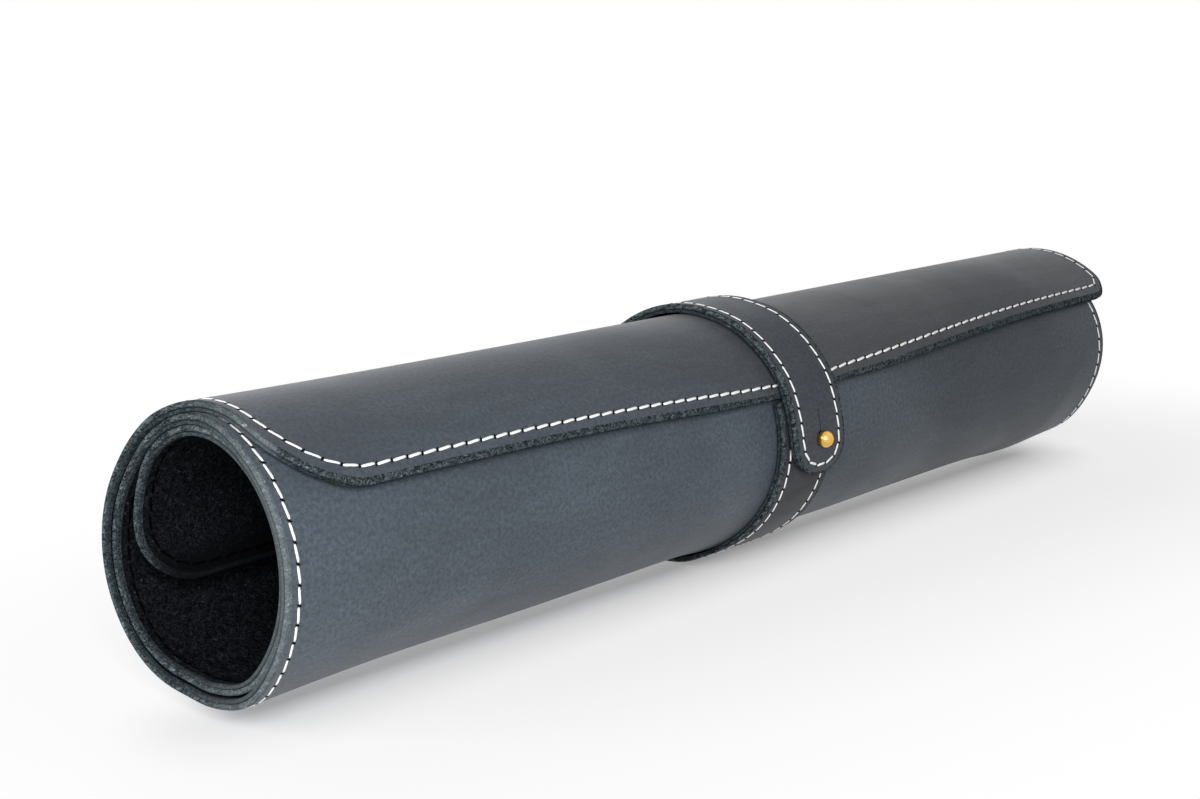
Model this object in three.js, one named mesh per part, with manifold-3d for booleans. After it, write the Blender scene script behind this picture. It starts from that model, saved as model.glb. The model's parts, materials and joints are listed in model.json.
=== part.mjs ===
// A leather desk pad with a felt lining, rolled up and buttoned in a strap.
// Millimetres, +Z up. The roll lies along X, and its flap and the brass button face -Y.
// Angles round the roll are in degrees: 0 at the front (-Y), 90 at the top, 180 at the back.

import * as THREE from 'three';
import { mergeVertices } from 'three/addons/utils/BufferGeometryUtils.js';
import Module from 'manifold-3d';

const wasm = await Module();
wasm.setup();

// The pad's sheet, as it was cut
const padWidth = 430;
const padLength = 610;
const leatherThickness = 1.8;
const liningThickness = 1.2;
const layerGap = 0.1;
const flapNearCorner = 26;
const flapFarCorner = 10;
const innerNearCorner = 18;
const innerFarCorner = 10;

// How the sheet lies rolled up
const rollRadius = 46.3;
const wrapGap = 0.9;
const flapAngle = 28;
const rollOval = 0.069;
const ovalAngle = 39.5;
const undersideSag = 1.3;
const looseLeadAngle = 67;
const looseSpanAngle = 85;
const innerStandOff = 10;

// How far the sheet is set over along the roll: at the flap, in the turn under it and in the inner turn
const flapShift = 3.2;
const turnShift = -0.5;
const innerShift = 1.8;
const flapShiftSpan = 300;
const innerShiftLead = 350;
const innerShiftSpan = 160;

// Strap
const strapWidth = 27.6;
const strapClearance = 0.6;
const tongueTipAngle = -7.4;
const tongueTipFlat = 2.6;
const tongueTipOffset = 1.5;
const hingeAngle = 62;
const hingeGap = 0.3;
const buttonEndAngle = 385;
const buttonEndCorner = 1.5;

// How the strap leans along the roll: both its ends are set over from its middle, each from an angle on
const strapCentre = -2.4;
const tongueLean = 5.8;
const tongueLeanFrom = 85;
const tongueLeanSpan = 95;
const buttonEndLean = 3.8;
const buttonEndLeanFrom = 270;
const buttonEndLeanSpan = 90;

// Stitching
const stitchInset = 3.8;
const threadWidth = 0.8;
const threadHeight = 0.15;
const threadGap = 0.08;
const grooveDepth = 0.3;

// Button stud and its screw
const studAngle = 8;
const ballDiameter = 6;
const ballStandOff = 1.5;
const neckDiameter = 3.4;
const flangeDiameter = 6;
const flangeThickness = 0.5;
const screwHeadDiameter = 8;
const screwHeadThickness = 0.8;
const screwShankDiameter = 2.2;
const screwShankReach = 3.6;
const studClearance = 0.3;
const buttonholeSlitLength = 9.5;
const buttonholeSlitWidth = 0.5;

// Fineness of the faceted surfaces
const facetAngle = 10;
const flatSearchStep = 0.25;
const cornerSteps = 6;
const turnedSides = 24;
const ballSteps = 8;
const leastStep = 0.05;

const wrapPitch = leatherThickness + liningThickness + layerGap + wrapGap;
const { degToRad, radToDeg, lerp, smoothstep } = THREE.MathUtils;

// Where the sheet ends inside the roll, from the length of a plain spiral, and where it starts to stand off
const outermostSeam = rollRadius - leatherThickness - layerGap / 2;
const innermostSeam = Math.sqrt(outermostSeam ** 2 - wrapPitch * padLength / Math.PI);
const padEndAngle = flapAngle + radToDeg(2 * Math.PI * (outermostSeam - innermostSeam) / wrapPitch);
const looseFromAngle = padEndAngle - looseLeadAngle;

// Distance from the roll's axis to the seam between leather and lining, before the underside is flattened
function seamRadius(angle) {
  const loose = innerStandOff * smoothstep(angle, looseFromAngle, looseFromAngle + looseSpanAngle);
  const round = outermostSeam - wrapPitch * (angle - flapAngle) / 360 - loose;
  return round * (1 + rollOval * Math.cos(2 * degToRad(angle - ovalAngle)));
}

function roundPoint(angle) {
  const radius = seamRadius(angle);
  return new THREE.Vector2(-radius * Math.cos(degToRad(angle)), radius * Math.sin(degToRad(angle)));
}

// Where one turn's underside is pressed flat: its level, and the angles where the flat starts and ends
function undersideFlat(turn) {
  const angles = [];
  for (let angle = 180; angle <= 360; angle += flatSearchStep) {
    angles.push(angle + 360 * turn);
  }
  const level = Math.min(...angles.map((angle) => roundPoint(angle).y)) + undersideSag;
  const pressed = angles.filter((angle) => roundPoint(angle).y < level);
  return { level, start: pressed[0], end: pressed[pressed.length - 1] };
}

// The mitred outward direction at a point of a polyline, long enough to keep offset sides parallel
function mitre(points, index, closed) {
  const count = points.length;
  const before = points[closed ? (index + count - 1) % count : Math.max(index - 1, 0)];
  const after = points[closed ? (index + 1) % count : Math.min(index + 1, count - 1)];
  const here = points[index];
  const sides = [];
  for (const [from, to] of [[before, here], [here, after]]) {
    const along = new THREE.Vector2().subVectors(to, from);
    if (along.length() > 0) {
      along.normalize();
      sides.push(new THREE.Vector2(-along.y, along.x));
    }
  }
  const first = sides[0];
  const last = sides[sides.length - 1];
  return first.clone().add(last).divideScalar(1 + first.dot(last));
}

// A polyline in the YZ plane, which sheets and threads follow at a set distance outwards
class Course {
  constructor(points, angles) {
    this.points = points;
    this.angles = angles;
    this.outward = points.map((_, index) => mitre(points, index, false));
    this.lengths = [0];
    for (let index = 1; index < points.length; index += 1) {
      this.lengths.push(this.lengths[index - 1] + points[index].distanceTo(points[index - 1]));
    }
  }

  // The segment that holds a value, and how far along it the value lies
  find(values, value) {
    let index = values.findIndex((entry) => entry > value) - 1;
    if (index < 0) {
      index = values.length - 2;
    }
    return { index, share: (value - values[index]) / (values[index + 1] - values[index]) };
  }

  lengthAt(angle) {
    const { index, share } = this.find(this.angles, angle);
    return lerp(this.lengths[index], this.lengths[index + 1], share);
  }

  angleAt(length) {
    const { index, share } = this.find(this.lengths, length);
    return lerp(this.angles[index], this.angles[index + 1], share);
  }

  at(length, offset) {
    const { index, share } = this.find(this.lengths, length);
    const ends = [index, index + 1].map((k) => this.points[k].clone().addScaledVector(this.outward[k], offset));
    return ends[0].lerp(ends[1], share);
  }

  facetNormal(length) {
    const { index } = this.find(this.lengths, length);
    const along = new THREE.Vector2().subVectors(this.points[index + 1], this.points[index]).normalize();
    return new THREE.Vector3(0, -along.y, along.x);
  }

  beside(offset) {
    const moved = this.points.map((point, k) => point.clone().addScaledVector(this.outward[k], offset));
    return new Course(moved, this.angles);
  }
}

// The pad's course: facets of equal angle, except for one broad flat under each turn
function rollCourse(fromAngle, toAngle) {
  const flats = Array.from({ length: Math.ceil(toAngle / 360) }, (_, turn) => undersideFlat(turn));
  const flatMargin = facetAngle / 3;
  const stations = [];
  const firstStation = studAngle - facetAngle / 2 - facetAngle * Math.ceil((studAngle - fromAngle) / facetAngle);
  for (let angle = firstStation; angle < toAngle + facetAngle; angle += facetAngle) {
    const clearOfFlats = flats.every(
      (flat) => angle < flat.start - flatMargin || angle > flat.end + flatMargin,
    );
    if (clearOfFlats) {
      stations.push({ angle, point: roundPoint(angle) });
    }
  }
  for (const flat of flats) {
    for (const angle of [flat.start, flat.end]) {
      const point = roundPoint(angle);
      point.y = flat.level;
      stations.push({ angle, point });
    }
  }
  stations.sort((a, b) => a.angle - b.angle);
  const inside = stations.filter((station) => station.angle < toAngle + facetAngle);
  return new Course(inside.map((station) => station.point), inside.map((station) => station.angle));
}

function meshGeometry(vertices, quads) {
  const geometry = new THREE.BufferGeometry();
  geometry.setAttribute('position', new THREE.Float32BufferAttribute(vertices.flatMap((v) => v.toArray()), 3));
  geometry.setIndex(quads.flatMap(([a, b, c, d]) => [a, b, c, a, c, d]));
  geometry.computeVertexNormals();
  return geometry;
}

// A closed bar through rings of four corners, listed so that each ring turns left-handed about the bar's way
function barGeometry(rings, closed) {
  const quads = [];
  const last = rings.length - 1;
  for (let ring = 0; ring < (closed ? rings.length : last); ring += 1) {
    const next = (ring + 1) % rings.length;
    for (let corner = 0; corner < 4; corner += 1) {
      const turned = (corner + 1) % 4;
      quads.push([4 * ring + corner, 4 * ring + turned, 4 * next + turned, 4 * next + corner]);
    }
  }
  if (!closed) {
    quads.push([3, 2, 1, 0], [4 * last, 4 * last + 1, 4 * last + 2, 4 * last + 3]);
  }
  return meshGeometry(rings.flat(), quads);
}

function onCourse(course, shift, x, length, offset) {
  const point = course.at(length, offset);
  return new THREE.Vector3(x + shift(course, length), point.x, point.y);
}

// How far a rounded corner draws the side in, at a distance from the sheet's end
function cornerInset(distance, radius) {
  if (distance >= radius) {
    return 0;
  }
  return radius - Math.sqrt(Math.max(radius ** 2 - (radius - distance) ** 2, 0));
}

// One layer of sheet along a course, with rounded corners at its start and its end
function sheetGeometry({ course, from, to, width, start, end, low, high, shift }) {
  const places = [from, to, ...course.lengths.filter((length) => length > from && length < to)];
  for (let step = 1; step <= cornerSteps; step += 1) {
    const share = 1 - Math.cos(degToRad(90 * step / cornerSteps));
    places.push(from + start.left * share, from + start.right * share);
    places.push(to - end.left * share, to - end.right * share);
  }
  places.sort((a, b) => a - b);
  const kept = places.filter((place, index) => index === 0 || place - places[index - 1] > leastStep);
  kept[kept.length - 1] = to;
  const rings = kept.map((place) => {
    const left = -width / 2 + cornerInset(place - from, start.left) + cornerInset(to - place, end.left);
    const right = width / 2 - cornerInset(place - from, start.right) - cornerInset(to - place, end.right);
    return [[left, low], [left, high], [right, high], [right, low]].map(
      ([x, offset]) => onCourse(course, shift, x, place, offset),
    );
  });
  return barGeometry(rings, false);
}

// A stitch line from a sheet's open end down one side, round its other end and back up the other side
function stitchRound(halfWidth, open, end, leftRadius, rightRadius) {
  const way = Math.sign(end - open);
  const points = [new THREE.Vector2(-halfWidth, open)];
  for (const [side, radius] of [[-1, leftRadius], [1, rightRadius]]) {
    for (let step = 0; step <= cornerSteps; step += 1) {
      const turned = degToRad(90 * (side < 0 ? step : cornerSteps - step) / cornerSteps);
      const x = side * (halfWidth - radius + radius * Math.cos(turned));
      points.push(new THREE.Vector2(x, end - way * radius * (1 - Math.sin(turned))));
    }
  }
  points.push(new THREE.Vector2(halfWidth, open));
  return points;
}

// The path with a point added wherever it crosses from one facet of the course to the next
function brokenAtFacets(course, path, closed) {
  const broken = [];
  const segments = closed ? path.length : path.length - 1;
  for (let index = 0; index < segments; index += 1) {
    const start = path[index];
    const end = path[(index + 1) % path.length];
    const crossings = course.lengths.filter(
      (length) => (length - start.y) * (length - end.y) < 0 && Math.abs(length - end.y) > leastStep,
    );
    const shares = crossings.map((length) => (length - start.y) / (end.y - start.y)).sort((a, b) => a - b);
    broken.push(start, ...shares.map((share) => start.clone().lerp(end, share)));
  }
  if (!closed) {
    broken.push(path[path.length - 1]);
  }
  return broken.filter((point, index) => index === 0 || point.distanceTo(broken[index - 1]) > leastStep);
}

// An open stitch line, run on a little past both its ends
function runOn(path, distance) {
  const count = path.length;
  const [first, last] = [[path[0], path[1]], [path[count - 1], path[count - 2]]].map(
    ([end, next]) => end.clone().sub(next).setLength(distance).add(end),
  );
  return [first, ...path, last];
}

// A flat bar along a stitch line, between two offsets from the seam
function stitchBar({ course, path, closed, shift, width, low, high }) {
  const line = brokenAtFacets(course, path, closed);
  const rings = line.map((point, index) => {
    const across = mitre(line, index, closed).multiplyScalar(width / 2);
    const left = point.clone().add(across);
    const right = point.clone().sub(across);
    return [[right, low], [left, low], [left, high], [right, high]].map(
      ([place, offset]) => onCourse(course, shift, place.x, place.y, offset),
    );
  });
  return barGeometry(rings, closed);
}

function toSolid(geometry) {
  const bare = geometry.clone();
  bare.deleteAttribute('normal');
  bare.deleteAttribute('uv');
  const merged = mergeVertices(bare);
  return new wasm.Manifold(new wasm.Mesh({
    numProp: 3,
    vertProperties: new Float32Array(merged.attributes.position.array),
    triVerts: new Uint32Array(merged.index.array),
  }));
}

function cutAway(geometry, tools) {
  const solid = tools.reduce((body, tool) => body.subtract(toSolid(tool)), toSolid(geometry));
  const mesh = solid.getMesh();
  const cut = new THREE.BufferGeometry();
  cut.setAttribute('position', new THREE.BufferAttribute(new Float32Array(mesh.vertProperties), 3));
  cut.setIndex(new THREE.BufferAttribute(new Uint32Array(mesh.triVerts), 1));
  cut.computeVertexNormals();
  return cut;
}

const leather = { color: 0x3b4247, roughness: 0.62, metalness: 0 };
const felt = { color: 0x0f1112, roughness: 0.95, metalness: 0 };
const whiteThread = { color: 0xe6e4de, roughness: 0.7, metalness: 0 };
const blackThread = { color: 0x141517, roughness: 0.7, metalness: 0 };
const brass = { color: 0xc98f2e, roughness: 0.22, metalness: 1 };

function piece(name, geometry, finish) {
  const mesh = new THREE.Mesh(geometry, new THREE.MeshStandardMaterial(finish));
  mesh.name = name;
  return mesh;
}

// The layers' offsets from the seam between leather and lining
const leatherLow = layerGap / 2;
const leatherHigh = leatherLow + leatherThickness;
const liningHigh = -layerGap / 2;
const liningLow = liningHigh - liningThickness;

// Both threads of a sewn piece's stitching, and its layers: the white thread lies in a groove in the leather
function sewnPiece(group, name, shape, path, closed) {
  const { course, shift } = shape;
  const line = { course, shift, path, closed, width: threadWidth };
  const grooveFloor = leatherHigh - grooveDepth;
  const needleLow = grooveFloor + threadGap;
  const bobbinHigh = liningLow - threadGap;
  const needleThread = stitchBar({ ...line, low: needleLow, high: needleLow + threadHeight });
  const bobbinThread = stitchBar({ ...line, low: bobbinHigh - threadHeight, high: bobbinHigh });
  group.add(
    piece(`${name}_needle_thread`, needleThread, whiteThread),
    piece(`${name}_bobbin_thread`, bobbinThread, blackThread),
  );
  const groove = stitchBar({
    ...line,
    path: closed ? path : runOn(path, threadWidth),
    width: threadWidth + 2 * threadGap,
    low: grooveFloor,
    high: leatherHigh + threadHeight,
  });
  return {
    leather: cutAway(sheetGeometry({ ...shape, low: leatherLow, high: leatherHigh }), [groove]),
    lining: sheetGeometry({ ...shape, low: liningLow, high: liningHigh }),
  };
}

const roll = rollCourse(tongueTipAngle - facetAngle, padEndAngle + looseSpanAngle);
const padStart = roll.lengthAt(flapAngle);
const padEnd = padStart + padLength;

// A sheet rolled a little askew: its turns are set over along the roll
function padShift(course, length) {
  const angle = course.angleAt(length);
  const innerFrom = padEndAngle - innerShiftLead;
  const underFlap = smoothstep(angle, flapAngle, flapAngle + flapShiftSpan);
  const inside = smoothstep(angle, innerFrom, innerFrom + innerShiftSpan);
  return lerp(lerp(flapShift, turnShift, underFlap), innerShift, inside);
}

function buildPad() {
  const group = new THREE.Group();
  const halfLine = padWidth / 2 - stitchInset;
  const middle = (padStart + padEnd) / 2;
  const flapLine = stitchRound(halfLine, middle, padStart + stitchInset,
    flapNearCorner - stitchInset, flapFarCorner - stitchInset);
  const innerLine = stitchRound(halfLine, middle, padEnd - stitchInset,
    innerNearCorner - stitchInset, innerFarCorner - stitchInset).reverse();
  const shape = {
    course: roll,
    from: padStart,
    to: padEnd,
    width: padWidth,
    start: { left: flapNearCorner, right: flapFarCorner },
    end: { left: innerNearCorner, right: innerFarCorner },
    shift: padShift,
  };
  const layers = sewnPiece(group, 'pad', shape, [...flapLine, ...innerLine.slice(1, -1)], true);
  group.add(piece('pad_leather', layers.leather, leather), piece('pad_lining', layers.lining, felt));
  return group;
}

// The strap follows the roll's outer face, one sheet's thickness further out
const strap = roll.beside(leatherHigh + strapClearance - liningLow);
const strapStart = strap.lengthAt(tongueTipAngle);
const strapEnd = strap.lengthAt(buttonEndAngle);
const strapSplit = strap.lengthAt(hingeAngle);

// A strap that leans on the roll, with its tongue set to one side of the end it covers
function strapShift(course, length) {
  const angle = course.angleAt(length);
  const tongue = tongueLean * smoothstep(tongueLeanFrom - angle, 0, tongueLeanSpan);
  const buttonEnd = buttonEndLean * smoothstep(angle - buttonEndLeanFrom, 0, buttonEndLeanSpan);
  return strapCentre + tongue + buttonEnd;
}

// The stud's frame: Y along its axis, out of the leather's face at the buttoned end, and -Z up the tongue
const studLength = strap.lengthAt(studAngle + 360);
const studNormal = strap.facetNormal(studLength);
const studShift = () => strapShift(strap, strap.lengthAt(studAngle));
const studFoot = onCourse(strap, studShift, 0, studLength, leatherHigh);
const alongRoll = new THREE.Vector3(1, 0, 0);
const studFrame = new THREE.Matrix4()
  .makeBasis(alongRoll, studNormal, new THREE.Vector3().crossVectors(alongRoll, studNormal))
  .setPosition(studFoot);
const tongueFace = onCourse(strap, strapShift, 0, strap.lengthAt(studAngle), leatherHigh);
const tongueRise = tongueFace.sub(studFoot).dot(studNormal);
const ballRadius = ballDiameter / 2;
const ballCentre = tongueRise + ballStandOff;

function studCylinder(diameter, low, high) {
  return new THREE.CylinderGeometry(diameter / 2, diameter / 2, high - low, turnedSides)
    .translate(0, (low + high) / 2, 0)
    .applyMatrix4(studFrame);
}

const sheetThickness = leatherHigh - liningLow;

function buildTongue() {
  const group = new THREE.Group();
  const end = strapSplit - hingeGap / 2;
  const tipCorner = (strapWidth - tongueTipFlat) / 2;
  const tip = { left: tipCorner + tongueTipOffset, right: tipCorner - tongueTipOffset };
  const path = stitchRound(strapWidth / 2 - stitchInset, end, strapStart + stitchInset,
    tip.left - stitchInset, tip.right - stitchInset);
  const shape = {
    course: strap,
    from: strapStart,
    to: end,
    width: strapWidth,
    start: tip,
    end: { left: 0, right: 0 },
    shift: strapShift,
  };
  const layers = sewnPiece(group, 'tongue', shape, path, false);
  const ballAtFace = Math.sqrt(ballRadius ** 2 - ballStandOff ** 2);
  const hole = studCylinder(2 * (ballAtFace + studClearance), tongueRise - 2 * sheetThickness,
    tongueRise + sheetThickness);
  const slit = new THREE.BoxGeometry(buttonholeSlitWidth, 3 * sheetThickness, buttonholeSlitLength)
    .translate(0, tongueRise - sheetThickness / 2, -buttonholeSlitLength / 2)
    .applyMatrix4(studFrame);
  group.add(
    piece('tongue_leather', cutAway(layers.leather, [hole, slit]), leather),
    piece('tongue_lining', cutAway(layers.lining, [hole, slit]), felt),
  );
  return group;
}

function buildBand() {
  const group = new THREE.Group();
  const start = strapSplit + hingeGap / 2;
  const squareTurn = leastStep;
  const path = stitchRound(strapWidth / 2 - stitchInset, start, strapEnd - stitchInset, squareTurn, squareTurn);
  const shape = {
    course: strap,
    from: start,
    to: strapEnd,
    width: strapWidth,
    start: { left: 0, right: 0 },
    end: { left: buttonEndCorner, right: buttonEndCorner },
    shift: strapShift,
  };
  const layers = sewnPiece(group, 'strap', shape, path, false);
  const shankHole = studCylinder(screwShankDiameter + 2 * studClearance, -2 * leatherThickness,
    leatherThickness);
  const headHole = studCylinder(screwHeadDiameter + 2 * studClearance, -3 * sheetThickness,
    -leatherThickness - layerGap / 2);
  group.add(
    piece('strap_leather', cutAway(layers.leather, [shankHole]), leather),
    piece('strap_lining', cutAway(layers.lining, [headHole]), felt),
  );
  return group;
}

function turned(profile) {
  const points = profile.map(([radius, height]) => new THREE.Vector2(radius, height));
  const lathed = new THREE.LatheGeometry(points, turnedSides).deleteAttribute('normal').deleteAttribute('uv');
  return mergeVertices(lathed).applyMatrix4(studFrame);
}

// The stud: a flange on the leather, a neck through the buttonhole and a ball, bored from below for its screw
function buildStud() {
  const group = new THREE.Group();
  const base = layerGap;
  const sunk = Math.sqrt(ballRadius ** 2 - (neckDiameter / 2) ** 2);
  const boreRadius = screwShankDiameter / 2 + studClearance;
  const boreTop = base + screwShankReach + studClearance;
  const ballProfile = [
    [0, boreTop],
    [boreRadius, boreTop],
    [boreRadius, base],
    [flangeDiameter / 2, base],
    [flangeDiameter / 2, base + flangeThickness],
    [neckDiameter / 2, base + flangeThickness],
  ];
  const firstAngle = Math.asin(sunk / ballRadius);
  for (let step = 0; step < ballSteps; step += 1) {
    const angle = -firstAngle + (Math.PI / 2 + firstAngle) * step / ballSteps;
    ballProfile.push([ballRadius * Math.cos(angle), ballCentre + ballRadius * Math.sin(angle)]);
  }
  ballProfile.push([0, ballCentre + ballRadius]);
  const headTop = -leatherThickness - layerGap;
  const headLow = headTop - screwHeadThickness;
  const screwProfile = [
    [0, headLow],
    [screwHeadDiameter / 2, headLow],
    [screwHeadDiameter / 2, headTop],
    [screwShankDiameter / 2, headTop],
    [screwShankDiameter / 2, base + screwShankReach],
    [0, base + screwShankReach],
  ];
  group.add(
    piece('stud_ball', turned(ballProfile), brass),
    piece('stud_screw', turned(screwProfile), brass),
  );
  return group;
}

// The whole object, set down with the middle of its base at the origin
const deskPad = new THREE.Group();
const strapGroup = new THREE.Group();
strapGroup.add(buildBand(), buildStud(), buildTongue());
deskPad.add(buildPad(), strapGroup);
const box = new THREE.Box3().setFromObject(deskPad, true);
const middle = box.getCenter(new THREE.Vector3());
deskPad.position.set(-middle.x, -middle.y, -box.min.z);

export default deskPad;
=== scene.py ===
# %% [markdown]
# A desk pad of dark waxed leather, lined with black felt, rolled up and buttoned in a strap.
# Everything on the real object starts as a flat cut sheet: it is cut, sewn, and only then rolled.
# This lesson works in the same order. Each sheet is modelled flat, with its stitches on it, and then bent
# round the roll, so the leather keeps its size and its stitches stay on it.

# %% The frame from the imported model
import json
import math

import bmesh
import bpy
import numpy as np
from mathutils import Matrix, Vector


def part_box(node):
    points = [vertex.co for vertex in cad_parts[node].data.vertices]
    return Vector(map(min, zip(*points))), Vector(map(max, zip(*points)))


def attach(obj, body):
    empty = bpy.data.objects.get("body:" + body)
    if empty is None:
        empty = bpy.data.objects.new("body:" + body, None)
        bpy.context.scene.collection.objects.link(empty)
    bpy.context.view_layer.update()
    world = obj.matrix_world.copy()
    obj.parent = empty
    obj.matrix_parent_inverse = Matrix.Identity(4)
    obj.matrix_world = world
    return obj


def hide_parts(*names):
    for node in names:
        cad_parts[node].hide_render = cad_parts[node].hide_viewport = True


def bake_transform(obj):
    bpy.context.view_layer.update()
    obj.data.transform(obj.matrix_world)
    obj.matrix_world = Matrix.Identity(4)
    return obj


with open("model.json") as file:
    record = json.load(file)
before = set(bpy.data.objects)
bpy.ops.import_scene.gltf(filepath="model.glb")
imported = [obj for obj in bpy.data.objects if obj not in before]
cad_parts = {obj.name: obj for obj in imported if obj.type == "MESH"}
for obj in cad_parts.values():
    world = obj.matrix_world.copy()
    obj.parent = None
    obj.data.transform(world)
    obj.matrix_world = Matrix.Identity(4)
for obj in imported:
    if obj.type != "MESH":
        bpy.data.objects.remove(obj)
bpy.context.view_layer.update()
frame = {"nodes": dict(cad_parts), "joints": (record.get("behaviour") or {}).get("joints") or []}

MM = 0.001


def in_mm(lengths):
    return np.round(np.array(lengths) / MM, 1)


# %% [markdown]
# The roll is a spiral seen from its end. It is described by one line, the seam between leather and felt,
# and each layer lies at its own distance from that line. The spiral is a little oval, because soft leather
# settles, and its underside is pressed flat. A simulation could roll it up, but a spiral is easier to steer.

# %% The roll's spiral
PAD_WIDTH = 430 * MM
PAD_LENGTH = 610 * MM
LEATHER = 1.8 * MM
FELT = 1.2 * MM
LAYER_GAP = 0.1 * MM
WRAP_GAP = 0.9 * MM
ROLL_RADIUS = 46.3 * MM
FLAP_ANGLE = 28
OVAL = 0.069
OVAL_ANGLE = 39.5
UNDERSIDE_SAG = 1.3 * MM
UNDERSIDE_SOFTNESS = 0.4 * MM
LOOSE_LEAD = 67
LOOSE_SPAN = 85
INNER_STAND_OFF = 10 * MM
WRAP_PITCH = LEATHER + FELT + LAYER_GAP + WRAP_GAP

outermost_seam = ROLL_RADIUS - LEATHER - LAYER_GAP / 2
innermost_seam = math.sqrt(outermost_seam**2 - WRAP_PITCH * PAD_LENGTH / math.pi)
pad_end_angle = FLAP_ANGLE + 360 * (outermost_seam - innermost_seam) / WRAP_PITCH
loose_from = pad_end_angle - LOOSE_LEAD


def smooth_step(value):
    share = np.clip(value, 0, 1)
    return share * share * (3 - 2 * share)


def spiral_points(angle, sag):
    """Points of the seam, in Y and Z about the roll's axis: 0 degrees is the front, 90 the top."""
    loose = INNER_STAND_OFF * smooth_step((angle - loose_from) / LOOSE_SPAN)
    radius = outermost_seam - WRAP_PITCH * (angle - FLAP_ANGLE) / 360 - loose
    radius = radius * (1 + OVAL * np.cos(2 * np.radians(angle - OVAL_ANGLE)))
    across = -radius * np.cos(np.radians(angle))
    height = radius * np.sin(np.radians(angle))
    for turn in range(int(angle.max() // 360) + 1):
        lower = (angle > 180 + 360 * turn) & (angle < 360 + 360 * turn)
        if lower.any():
            level = height[lower].min() + sag
            above = (height[lower] - level) / UNDERSIDE_SOFTNESS
            height[lower] = level + UNDERSIDE_SOFTNESS * np.logaddexp(0, above)
    return np.stack([across, height], axis=1)


print("the seam winds in from", in_mm(outermost_seam), "to", in_mm(innermost_seam), "mm")

# %% [markdown]
# Leather bends but hardly stretches, so a sheet is laid along its line by length, as a tape would be.
# A course holds such a line. The near end has one of its own, because it isn't pressed flat underneath.

# %% Courses that a sheet follows


def lengths_along(points):
    """The length from the first point of a line to each of its points."""
    steps = np.linalg.norm(np.diff(points, axis=0), axis=1)
    return np.concatenate([[0], np.cumsum(steps)])


class Course:
    """A line round the roll that a sheet follows, read by the length along it."""

    def __init__(self, points, angle):
        along = np.gradient(points, axis=0)
        along /= np.linalg.norm(along, axis=1)[:, None]
        self.points = points
        self.angle = angle
        self.length = lengths_along(points)
        self.outward = np.stack([-along[:, 1], along[:, 0]], axis=1)

    def at(self, length, offset):
        return [np.interp(length, self.length, self.points[:, k])
                + np.interp(length, self.length, self.outward[:, k]) * offset for k in (0, 1)]

    def angle_at(self, length):
        return np.interp(length, self.length, self.angle)

    def length_at(self, angle):
        return np.interp(angle, self.angle, self.length)

    def beside(self, offset):
        return Course(self.points + self.outward * offset, self.angle)


FIRST_ANGLE = -30
ANGLE_STEP = 0.5
angles = np.arange(FIRST_ANGLE, pad_end_angle + LOOSE_SPAN, ANGLE_STEP)
roll = Course(spiral_points(angles, UNDERSIDE_SAG), angles)
near_roll = Course(spiral_points(angles, 0), angles)
pad_start = roll.length_at(FLAP_ANGLE)
print("the sheet ends at", roll.angle_at(pad_start + PAD_LENGTH).round(), "degrees")

# %% [markdown]
# The strap follows the roll one sheet further out, leaning a little to one side as it goes round.
# Its place comes from the frame: the joint that lifts the tongue gives one known point on the strap.

# %% The strap's course, and where the roll's axis is
LEATHER_LOW = LAYER_GAP / 2
LEATHER_HIGH = LEATHER_LOW + LEATHER
FELT_HIGH = -LAYER_GAP / 2
FELT_LOW = FELT_HIGH - FELT
STRAP_CLEARANCE = 0.6 * MM
STRAP_WIDTH = 27.6 * MM
TONGUE_TIP_ANGLE = -7.4
BUTTON_END_ANGLE = 385
HINGE_ANGLE = 62
STRAP_CENTRE = -2.4 * MM
TONGUE_LEAN = (5.8 * MM, 85, -95)
BUTTON_END_LEAN = (3.8 * MM, 270, 90)

strap = roll.beside(LEATHER_HIGH + STRAP_CLEARANCE - FELT_LOW)
strap_start = strap.length_at(TONGUE_TIP_ANGLE)
strap_end = strap.length_at(BUTTON_END_ANGLE)
STRAP_LENGTH = strap_end - strap_start


def strap_shift(length):
    """How far the strap is set over along the roll; each lean has an amount, a first angle and a span."""
    angle = strap.angle_at(length)
    leans = (TONGUE_LEAN, BUTTON_END_LEAN)
    return STRAP_CENTRE + sum(amount * smooth_step((angle - first) / span) for amount, first, span in leans)


tongue_lift = next(joint for joint in frame["joints"] if joint["name"] == "tongue_lift")
hinge = Vector(tongue_lift["pos_m"])
hinge_length = strap.length_at(HINGE_ANGLE)
hinge_across, hinge_height = strap.at(hinge_length, (LEATHER_HIGH + FELT_LOW) / 2)
axis_place = hinge - Vector((float(strap_shift(hinge_length)), float(hinge_across), float(hinge_height)))
print("roll axis", in_mm(axis_place), "strap", in_mm(STRAP_LENGTH), "mm")

# %% [markdown]
# The real roll isn't a perfect spiral. Its near end has relaxed out of round, its far end is pinched, and
# its underside is drawn up. Each of these is one small term: how far the sheet stands off the spiral, at an
# angle round the roll and a place along it.

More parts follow.
